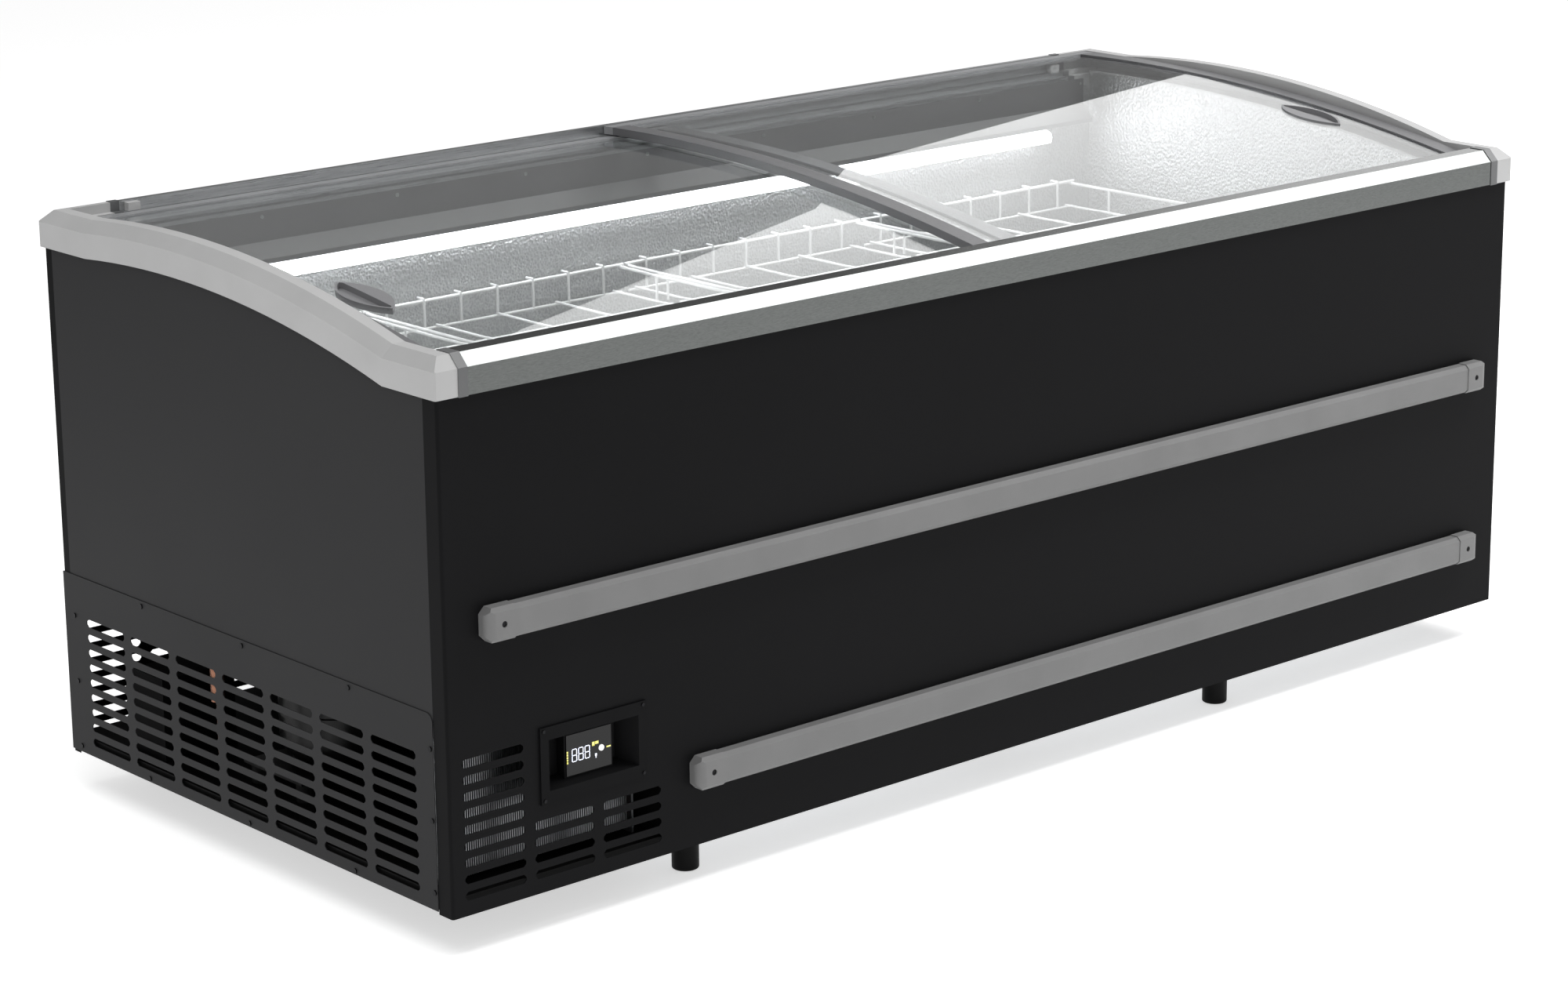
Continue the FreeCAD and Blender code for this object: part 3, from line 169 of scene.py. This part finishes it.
# %% Moulded and extruded plastic
def plastic(name, dark, light, roughness, grain_mm, grain_depth_mm, stretch=(1, 1, 1), level=0.5):
    material, tree, shader = start_material(
        name, **{"IOR": 1.53, "Specular IOR Level": level, "Roughness": roughness})
    grain = add_node(tree, "ShaderNodeTexNoise", {"Scale": 1.0, "Detail": 3.0, "Roughness": 0.6},
                     {"Vector": (pattern_space(tree, grain_mm, stretch), "Vector")})
    mottle = add_node(tree, "ShaderNodeTexNoise", {"Scale": 1.0, "Detail": 3.0},
                      {"Vector": (pattern_space(tree, 90), "Vector")})
    weather(tree, shader, colour=(mottle, "Fac", dark, light),
            roughness=(grain, "Fac", roughness - 0.05, roughness + 0.05),
            relief=(grain, "Fac", grain_depth_mm, 0.6))
    return material


cap_abs = plastic("end_cap_grained_abs", "#b4b4b4", "#bababa", 0.5, 1.1, 0.05, level=0.3)
bumper_pvc = plastic("bumper_grey_pvc", "#787878", "#7e7e7e", 0.5, 1.4, 0.05, (40, 1, 1), level=0.2)
profile_pvc = plastic("lid_profile_pvc", "#5e5e60", "#666668", 0.4, 1.2, 0.03, (1, 40, 1))
# The long front and rear profiles get a lighter grey than the end profiles: the extra lightness is
# painted reflection.
long_profile_pvc_painted_sheen = plastic("lid_long_profile_pvc", "#8c8d8f", "#949597", 0.3, 1.2, 0.03, (60, 1, 1))
grip_abs = plastic("grip_grey_abs", "#808082", "#88888a", 0.4, 0.9, 0.03, level=0.15)
black_pp = plastic("foot_black_polypropylene", "#0b0b0b", "#101010", 0.45, 0.9, 0.05, level=0.08)
joiner_pa = plastic("joiner_grey_nylon", "#58595a", "#606162", 0.4, 0.9, 0.03)
bezel_abs = plastic("controller_black_abs", "#121213", "#161617", 0.5, 0.8, 0.04, level=0.04)
white_abs = plastic("white_abs", "#e6e6e4", "#ecece9", 0.35, 0.9, 0.02)
fan_pp = plastic("fan_black_polypropylene", "#18181a", "#202022", 0.35, 1.0, 0.03)
seal_tpe = plastic("seal_black_tpe", "#18181a", "#1d1d1f", 0.6, 0.8, 0.05, (1, 30, 1))
rubber = plastic("black_rubber", "#141414", "#1a1a1a", 0.75, 0.7, 0.06)
finish_with(cap_abs, "left_end_cap", "right_end_cap")
finish_with(bumper_pvc, "bumper_rail_upper", "bumper_rail_lower", "bumper_end_caps")
finish_with(profile_pvc, "left_lid_centre_profile", "right_lid_centre_profile",
            "left_lid_outer_profile", "right_lid_outer_profile")
finish_with(long_profile_pvc_painted_sheen, "left_lid_front_profile", "right_lid_front_profile",
            "left_lid_rear_profile", "right_lid_rear_profile")
finish_with(grip_abs, "left_lid_grip", "right_lid_grip")
finish_with(black_pp, "foot_front_left", "foot_rear_left", "foot_front_right", "foot_rear_right")
finish_with(joiner_pa, "rail_joiners")
finish_with(cap_abs, "lid_stops")
finish_with(bezel_abs, "controller_bezel", "controller_module", "electrical_box")
finish_with(white_abs, "drain_plug")
finish_with(fan_pp, "fan_blade")
finish_with(seal_tpe, "centre_seal")
finish_with(rubber, "compressor_grommets")

# %% [markdown]
# The rails the lids run on are extruded aluminium, brushed along their length and anodised. Fine
# scratches that run one way are a noise stretched along X. They are really a tenth of a millimetre
# wide, drawn here at about one so that they show. Metal needs no paint layer: its own colour is
# the reflection, so the base colour is the metal and metallic is one. Zinc plate is a metal too,
# and its crystals, a few millimetres across, come from the cells of a Voronoi pattern.

# %% Brushed aluminium and zinc-plated steel
def brushed_metal(name, dark, light, roughness, line_mm, stretch, depth_mm=0.02):
    material, tree, shader = start_material(name, Metallic=1.0, Roughness=roughness)
    lines = add_node(tree, "ShaderNodeTexNoise", {"Scale": 1.0, "Detail": 4.0, "Roughness": 0.7},
                     {"Vector": (pattern_space(tree, line_mm, stretch), "Vector")})
    weather(tree, shader, colour=(lines, "Fac", dark, light),
            roughness=(lines, "Fac", roughness - 0.08, roughness + 0.08),
            relief=(lines, "Fac", depth_mm, 0.4))
    return material


def spangled_zinc(name, dark, light, roughness, spangle_mm):
    material, tree, shader = start_material(name, Metallic=1.0, Roughness=roughness)
    spangle = add_node(tree, "ShaderNodeTexVoronoi", {"Scale": 1.0},
                       {"Vector": (pattern_space(tree, spangle_mm), "Vector")})
    flake = add_node(tree, "ShaderNodeSeparateColor", links={"Color": (spangle, "Color")})
    weather(tree, shader, colour=(flake, "Red", dark, light),
            roughness=(flake, "Green", roughness - 0.07, roughness + 0.07), reach=(0.0, 1.0))
    return material


rail_aluminium = brushed_metal("rail_brushed_aluminium", "#545655", "#686a69", 0.2, 0.9, (8, 1, 1),
                               depth_mm=0.004)
rear_aluminium = brushed_metal("rear_rail_anodised_aluminium", "#b4b6b8", "#cccdce", 0.32, 1.2,
                               (60, 1, 1))
rivet_aluminium = brushed_metal("rivet_aluminium", "#b0b1b3", "#c4c5c6", 0.3, 0.6, (1, 1, 1))
lamp_aluminium = brushed_metal("lamp_housing_aluminium", "#b8babc", "#cccdce", 0.3, 1.0, (40, 1, 1))
dark_screw = brushed_metal("screw_black_zinc", "#1c1c1d", "#2c2c2e", 0.4, 0.5, (1, 1, 1))
zinc_sheet = spangled_zinc("galvanised_sheet", "#9fa3a7", "#c3c6c9", 0.34, 7)
copper = brushed_metal("drawn_copper", "#8c6452", "#a0745f", 0.26, 0.8, (1, 1, 20))
finish_with(rail_aluminium, "front_rail")
finish_with(rear_aluminium, "rear_rail")
finish_with(rivet_aluminium, "canopy_rivets")
finish_with(lamp_aluminium, "lamp_housing")
finish_with(dark_screw, "panel_screws", "foot_lock_nuts")
finish_with(zinc_sheet, "bottom_panel")
finish_with(copper, "refrigerant_pipes", "evaporator_pipe")

# %% [markdown]
# The tub is bare aluminium sheet with a stucco emboss. The emboss is a field of soft dimples 2 to
# 3 mm across that hides dents and makes the walls sparkle under the lamp. A smooth Voronoi
# distance gives the dimples as a bump, drawn at 4.5 mm so that they show from a few metres, and the
# same distance paints each dimple a little darker in its hollow, as painted shade.

# %% Stucco tub
stucco, stucco_tree, stucco_shader = start_material(
    "stucco_aluminium", **{"Metallic": 1.0, "Roughness": 0.48})
dimples = add_node(stucco_tree, "ShaderNodeTexVoronoi", {"Scale": 1.0, "Smoothness": 0.6},
                   {"Vector": (pattern_space(stucco_tree, 4.5), "Vector")}, feature="SMOOTH_F1")
# The colour is darker in the hollow of each dimple: painted shade. The bump is the emboss itself.
weather(stucco_tree, stucco_shader, colour=(dimples, "Distance", "#bebfbf", "#cecfcf"),
        relief=(dimples, "Distance", 1.4, 1.0), reach=(0.1, 0.6))
finish_with(stucco, "liner_tub")

# %% [markdown]
# Polyurethane foam fills the walls. It is the colour of weak coffee with milk, full of pores, and
# hides inside, but a cut or an exploded view shows it. Each pore is painted darker towards its
# middle, as painted shade in the hollow.

# %% Foam
foam, foam_tree, foam_shader = start_material(
    "polyurethane_foam", **{"IOR": 1.45, "Specular IOR Level": 0.2, "Roughness": 0.85})
pores = add_node(foam_tree, "ShaderNodeTexVoronoi", {"Scale": 1.0},
                 {"Vector": (pattern_space(foam_tree, 3), "Vector")})
# Darker inside each pore: painted shade in the hollow. The bump is the pores themselves.
weather(foam_tree, foam_shader, colour=(pores, "Distance", "#b89f68", "#e2cf9b"),
        relief=(pores, "Distance", 0.8, 1.0), reach=(0.0, 0.7))
finish_with(foam, "insulation_foam")

# %% [markdown]
# The lids are 4 mm tempered glass, bent to a wide arc. A path tracer lets lamps through glass only
# by chance, which makes the tub dark and grainy. So the glass is a true glass shader for the eye
# and a clear filter for shadow rays. The display window is a printed plastic film, and the button
# beside it is white silicone, lit from behind.

# %% Tempered glass, display film and button
lid_glass, lid_tree, lid_shader = start_material(
    "tempered_lid_glass",
    **{"Base Color": paint("#fafbfb"), "Roughness": 0.0, "IOR": 1.52, "Transmission Weight": 1.0})
ripple = add_node(lid_tree, "ShaderNodeTexNoise", {"Scale": 1.0, "Detail": 1.0},
                  {"Vector": (pattern_space(lid_tree, 180), "Vector")})
weather(lid_tree, lid_shader, relief=(ripple, "Fac", 0.02, 0.5))
filter_glass = add_node(lid_tree, "ShaderNodeBsdfTransparent", {"Color": paint("#f0f2f1")})
ray = add_node(lid_tree, "ShaderNodeLightPath")
seen_or_lit = add_node(lid_tree, "ShaderNodeMixShader", links={
    0: (ray, "Is Shadow Ray"), 1: (lid_shader, "BSDF"), 2: (filter_glass, "BSDF")})
lid_output = next(n for n in lid_tree.nodes if n.type == "OUTPUT_MATERIAL")
lid_tree.links.new(seen_or_lit.outputs["Shader"], lid_output.inputs["Surface"])
finish_with(lid_glass, "left_lid_glass", "right_lid_glass")

film, film_tree, film_shader = start_material(
    "display_polyester_film",
    **{"Base Color": paint("#060607"), "Roughness": 0.12, "IOR": 1.57, "Specular IOR Level": 0.25})
weave = add_node(film_tree, "ShaderNodeTexNoise", {"Scale": 1.0, "Detail": 2.0},
                 {"Vector": (pattern_space(film_tree, 3), "Vector")})
weather(film_tree, film_shader, roughness=(weave, "Fac", 0.09, 0.15))
finish_with(film, "display_window")

key_white, key_tree, key_shader = start_material(
    "button_white_silicone", **{"Roughness": 0.4, "IOR": 1.43,
                                "Emission Color": paint("#ffffff"), "Emission Strength": 0.6})
key_grain = add_node(key_tree, "ShaderNodeTexNoise", {"Scale": 1.0, "Detail": 2.0},
                     {"Vector": (pattern_space(key_tree, 0.6), "Vector")})
weather(key_tree, key_shader, colour=(key_grain, "Fac", "#e8e8e8", "#f4f4f4"))
finish_with(key_white, "controller_button")

# %% [markdown]
# The lamp is a row of light diodes behind an opal lens. The lens spreads the light, so it shines
# evenly.
# Its colour is also painted a little lighter where each diode sits, every 16 mm: painted light of
# the diodes.

# %% Lamp lens
opal, opal_tree, opal_shader = start_material(
    "opal_lamp_lens", **{"Base Color": paint("#f4f6f8"), "Roughness": 0.5, "IOR": 1.49,
                         "Emission Color": paint("#fafcff"), "Emission Strength": 20.0})
# Lighter bands every 16 mm: painted light of each diode behind the lens, not a tint of the lens.
diode_glow_bands = add_node(opal_tree, "ShaderNodeTexWave", {"Scale": 0.32, "Distortion": 0.0},
                {"Vector": (pattern_space(opal_tree, 16), "Vector")}, bands_direction="X")
weather(opal_tree, opal_shader, colour=(diode_glow_bands, "Fac", "#eef0f2", "#f8f9fa"))
finish_with(opal, "lamp_diffuser")

# %% [markdown]
# Small pieces come next. A helper makes one mesh from a list of boxes, which is the plainest way
# to build fins, segments and strips, and puts it on the freezer's body.

# %% A helper for pieces made of boxes
def boxes_mesh(name, boxes, body, material):
    """One piece made of closed boxes, each given as two opposite corners in metres."""
    shape = bmesh.new()
    for low, high in boxes:
        low, high = Vector(low), Vector(high)
        middle, span = (low + high) / 2, high - low
        matrix = Matrix.Translation(middle) @ Matrix.Diagonal((*span, 1))
        bmesh.ops.create_cube(shape, size=1.0, matrix=matrix)
    mesh = bpy.data.meshes.new(name)
    shape.to_mesh(mesh)
    shape.free()
    piece = bpy.data.objects.new(name, mesh)
    bpy.context.scene.collection.objects.link(piece)
    mesh.materials.append(material)
    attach(piece, body)
    return piece

# %% [markdown]
# The display shows digits made of seven bars each. Three eights light every bar, as the real one
# does when it is switched on. Each bar is a thin solid that stands a third of a millimetre proud,
# so it is a true shape and not a printed picture. Small yellow marks stand round the digits.

# %% Display digits and marks
def glowing(name, hex_colour, strength):
    material, tree, shader = start_material(
        name, **{"Roughness": 0.5, "Emission Color": paint(hex_colour),
                 "Emission Strength": strength})
    glow = add_node(tree, "ShaderNodeTexNoise", {"Scale": 1.0, "Detail": 1.0},
                    {"Vector": (pattern_space(tree, 4), "Vector")})
    weather(tree, shader, colour=(glow, "Fac", hex_colour, "#ffffff"), reach=(0.2, 1.0))
    return material


digit_light = glowing("digit_white_light", "#e6ecff", 0.9)
mark_light = glowing("mark_yellow_light", "#c8c21e", 0.8)
mm = 0.001
proud = 0.3 * mm
film_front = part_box("display_window")[0].y
digit_width, digit_height = 8.6 * mm, 18.0 * mm
bar_width, digit_pitch = 1.1 * mm, 10.8 * mm
bar_inset = 1.2 * mm
upright_inset, upright_gap = 0.9 * mm, 0.5 * mm
digits_left, digits_low = -0.8372, 0.2187


def on_film(left, right, low, high):
    """Two opposite corners of a thin box that stands on the display film."""
    return (left, film_front - proud, low), (right, film_front, high)


bars = []
for k in range(3):
    left = digits_left + k * digit_pitch
    right = left + digit_width
    middle = digits_low + digit_height / 2
    top = digits_low + digit_height
    for low in (digits_low, middle - bar_width / 2, top - bar_width):
        bars.append(on_film(left + bar_inset, right - bar_inset, low, low + bar_width))
    for bar_left in (left, right - bar_width):
        for low, high in ((digits_low + upright_inset, middle - upright_gap),
                          (middle + upright_gap, top - upright_inset)):
            bars.append(on_film(bar_left, bar_left + bar_width, low, high))
boxes_mesh("display_digits", bars, "cabinet", digit_light)

scale_low, scale_pitch, scale_tall = 0.2180, 3.6 * mm, 2.8 * mm
marks = [on_film(-0.8456, -0.8434, scale_low + k * scale_pitch,
                 scale_low + k * scale_pitch + scale_tall) for k in range(5)]
marks += [on_film(-0.8032, -0.7990, 0.2335, 0.2390), on_film(-0.7982, -0.7925, 0.2350, 0.2390),
          on_film(-0.7790, -0.7720, 0.2262, 0.2282)]
boxes_mesh("display_marks", marks, "cabinet", mark_light)
pin = [on_film(-0.7985, -0.7955, 0.2188, 0.2222), on_film(-0.7976, -0.7964, 0.2160, 0.2188)]
boxes_mesh("display_pin", pin, "cabinet", digit_light)
print("display bars:", len(bars), "marks:", len(marks))

# %% [markdown]
# The condenser is a pack of thin aluminium fins on copper tubes. One solid block would look like a
# brick through the slots, so the fins are built one by one: 1 mm sheets every 3.6 mm, which is
# thicker and wider apart than real fins so that they show, between the two end plates.

# %% Condenser fins
fin_aluminium = brushed_metal("fin_aluminium", "#a4a7aa", "#bfc2c4", 0.36, 1.0, (1, 1, 20))
coil_low, coil_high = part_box("condenser_coil")
plate_left, plate_right = -1.0200, -0.7150
plate_thick = 3 * mm
fin_pitch, fin_half = 3.6 * mm, 0.5 * mm
fin_side_inset, fin_low_inset, fin_top_inset = 4 * mm, 7 * mm, 4 * mm
fins = [((coil_low.x, coil_low.y, coil_low.z), (plate_left, coil_high.y, coil_high.z)),
        ((plate_right, coil_low.y, coil_low.z),
         (plate_right + plate_thick, coil_high.y, coil_high.z))]
fin_count = int((plate_right - plate_left) / fin_pitch) - 1
for k in range(fin_count):
    x = plate_left + (k + 1) * fin_pitch
    fins.append(((x - fin_half, coil_low.y + fin_side_inset, coil_low.z + fin_low_inset),
                 (x + fin_half, coil_high.y - fin_side_inset, coil_high.z - fin_top_inset)))
fin_pack = boxes_mesh("condenser_fins", fins, "cabinet", fin_aluminium)
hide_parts("condenser_coil")
print("fins:", fin_count)

# %% [markdown]
# Copper tubes run through the fins and turn back at the end in half circles. A curve with a round
# bevel is the natural way to draw a bent tube.

# %% Condenser tubes
def bent_tube(name, points, radius, body, material):
    """A round tube along straight runs, as a curve with closed ends."""
    curve = bpy.data.curves.new(name, "CURVE")
    curve.dimensions = "3D"
    spline = curve.splines.new("POLY")
    spline.points.add(len(points) - 1)
    for point, place in zip(spline.points, points):
        point.co = (*place, 1)
    curve.bevel_depth = radius
    curve.bevel_resolution = 4
    curve.use_fill_caps = True
    curve.materials.append(material)
    piece = bpy.data.objects.new(name, curve)
    bpy.context.scene.collection.objects.link(piece)
    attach(piece, body)
    return piece


coil_middle = (coil_low.y + coil_high.y) / 2
tube_rows, tube_radius = 10, 3.6 * mm
first_row, row_pitch = coil_low.z + 20 * mm, 20 * mm
turn_radius, turn_reach = row_pitch / 2, 0.9
left_end, right_end = plate_left - 1 * mm, plate_right + 2 * mm
tube_path = []
for k in range(tube_rows):
    z = first_row + k * row_pitch
    rightward = k % 2 == 0
    start, stop = (left_end, right_end) if rightward else (right_end, left_end)
    tube_path += [(start, coil_middle, z), (stop, coil_middle, z)]
    if rightward and k < tube_rows - 1:
        for step in range(1, 8):
            angle = math.pi * step / 8
            tube_path.append((right_end + turn_radius * math.sin(angle) * turn_reach, coil_middle,
                              z + turn_radius * (1 - math.cos(angle))))
bent_tube("condenser_tube", tube_path, tube_radius, "cabinet", copper)
print("tube points:", len(tube_path))

# %% [markdown]
# A product studio has a white floor that runs up out of sight, so the cabinet seems to stand in
# nothing. Here the floor shines a little of its own, which keeps it white far from the lights.

# %% Floor
floor_reach, floor_drop = 30.0, 0.0006
floor_mesh = bpy.data.meshes.new("studio_floor")
floor_mesh.from_pydata([(x, y, -floor_drop) for x, y in (
    (-floor_reach, -floor_reach), (floor_reach, -floor_reach),
    (floor_reach, floor_reach), (-floor_reach, floor_reach))], [], [(0, 1, 2, 3)])
floor = bpy.data.objects.new("studio_floor", floor_mesh)
bpy.context.scene.collection.objects.link(floor)
floor_paint = start_material(
    "pale_floor", **{"Base Color": paint("#f7f7f7"), "Roughness": 0.95, "Specular IOR Level": 0.1,
                     "Emission Color": paint("#ffffff"), "Emission Strength": 0.58})[0]
floor_mesh.materials.append(floor_paint)
print("floor:", 2 * floor_reach, "m square")

# %% [markdown]
# Two soft lights and a weak sky light the cabinet. The long strip hangs where the bevel of the
# front rail mirrors it along its whole length, and so the bevel shines white. The square one at
# the upper left models the end cap and the curve of the lids.

# %% Lights
def soft_panel(name, place, aim, width, height, power):
    """A rectangular soft light that faces aim."""
    lamp = bpy.data.lights.new(name, "AREA")
    lamp.shape = "RECTANGLE"
    lamp.size = width
    lamp.size_y = height
    lamp.energy = power
    piece = bpy.data.objects.new(name, lamp)
    piece.location = place
    piece.rotation_mode = "QUATERNION"
    piece.rotation_quaternion = (Vector(aim) - Vector(place)).to_track_quat("-Z", "Y")
    bpy.context.scene.collection.objects.link(piece)
    return piece


soft_panel("panel_over_rail", (3.55, -1.48, 4.3), (3.55, -1.48, 0.0), 4.6, 1.4, 220)
soft_panel("panel_top", (-2.0, -0.6, 4.8), (-0.3, 0, 0.6), 3.5, 3.5, 90)
sky = bpy.data.worlds.new("studio_sky")
sky.use_nodes = True
sky.node_tree.nodes["Background"].inputs["Color"].default_value = paint("#ffffff")
sky.node_tree.nodes["Background"].inputs["Strength"].default_value = 0.36
bpy.context.scene.world = sky
bpy.context.scene.view_settings.view_transform = "Standard"
print("lights:", len(bpy.data.lights))

# %% [markdown]
# Glass shows what stands behind it and in front of it at once. A photographer decides what it
# mirrors with cards: a black one keeps a pane clear and a white one makes it flash. The lids here
# mirror the meeting edge of two cards that stand behind the cabinet, which draws a bright slanted
# patch over each lid. The cards are hidden from the camera and give the room no light.

# %% Cards behind the lids
card_y = 3.0
edge = [(-1.0, 6.77), (2.189, 3.323), (2.951, 2.526), (2.951, 2.21), (4.084, 1.774),
        (5.60, 1.18), (11.0, 1.18)]
bright_outline = edge + [(11.0, 9.0), (-1.0, 9.0)]
dark_outline = edge + [(11.0, 0.0), (-4.0, 0.0), (-4.0, 9.0), (-1.0, 9.0)]


def studio_card(name, outline, material_name, brightness):
    """A flat card that only reflections can see, with its outline in X and Z."""
    mesh = bpy.data.meshes.new(name)
    mesh.from_pydata([(x, card_y, z) for x, z in outline], [], [tuple(range(len(outline)))])
    mesh.materials.append(start_material(
        material_name, **{"Base Color": paint("#000000"), "Emission Color": paint("#ffffff"),
                          "Emission Strength": brightness})[0])
    card = bpy.data.objects.new(name, mesh)
    bpy.context.scene.collection.objects.link(card)
    card.visible_camera = False
    card.visible_diffuse = False
    card.visible_shadow = False


studio_card("rear_white_card", bright_outline, "white_card_light", 1.3)
studio_card("rear_black_card", dark_outline, "black_card_felt", 0.12)
print("cards: 2, at y =", card_y)

# %% [markdown]
# The camera stands in front of the left corner, a little above the lids, with a long lens, so the
# edges of the cabinet stay almost parallel.

# %% Camera
focal_mm, sensor_mm = 90.58, 36.0
camera_place = Vector((-3.8468, -4.3002, 1.9181))
azimuth, elevation, roll = math.radians(-41.23), math.radians(15.26), math.radians(-0.52)
back = Vector((math.sin(azimuth) * math.cos(elevation), -math.cos(azimuth) * math.cos(elevation),
               math.sin(elevation)))
across = Vector((0, 0, 1)).cross(back).normalized()
upward = back.cross(across)
across, upward = (math.cos(roll) * across + math.sin(roll) * upward,
                  -math.sin(roll) * across + math.cos(roll) * upward)
lens = bpy.data.cameras.new("shop_camera")
lens.lens = focal_mm
lens.sensor_width = sensor_mm
lens.clip_end = 200
camera = bpy.data.objects.new("shop_camera", lens)
camera.matrix_world = Matrix((
    (across.x, upward.x, back.x, camera_place.x), (across.y, upward.y, back.y, camera_place.y),
    (across.z, upward.z, back.z, camera_place.z), (0, 0, 0, 1)))
bpy.context.scene.collection.objects.link(camera)
bpy.context.scene.camera = camera
print("camera at", tuple(round(c, 3) for c in camera_place))

# %% [markdown]
# Last, the scene is brought up to date. Finishing a model never changes its size.

# %% Finish
bpy.context.view_layer.update()
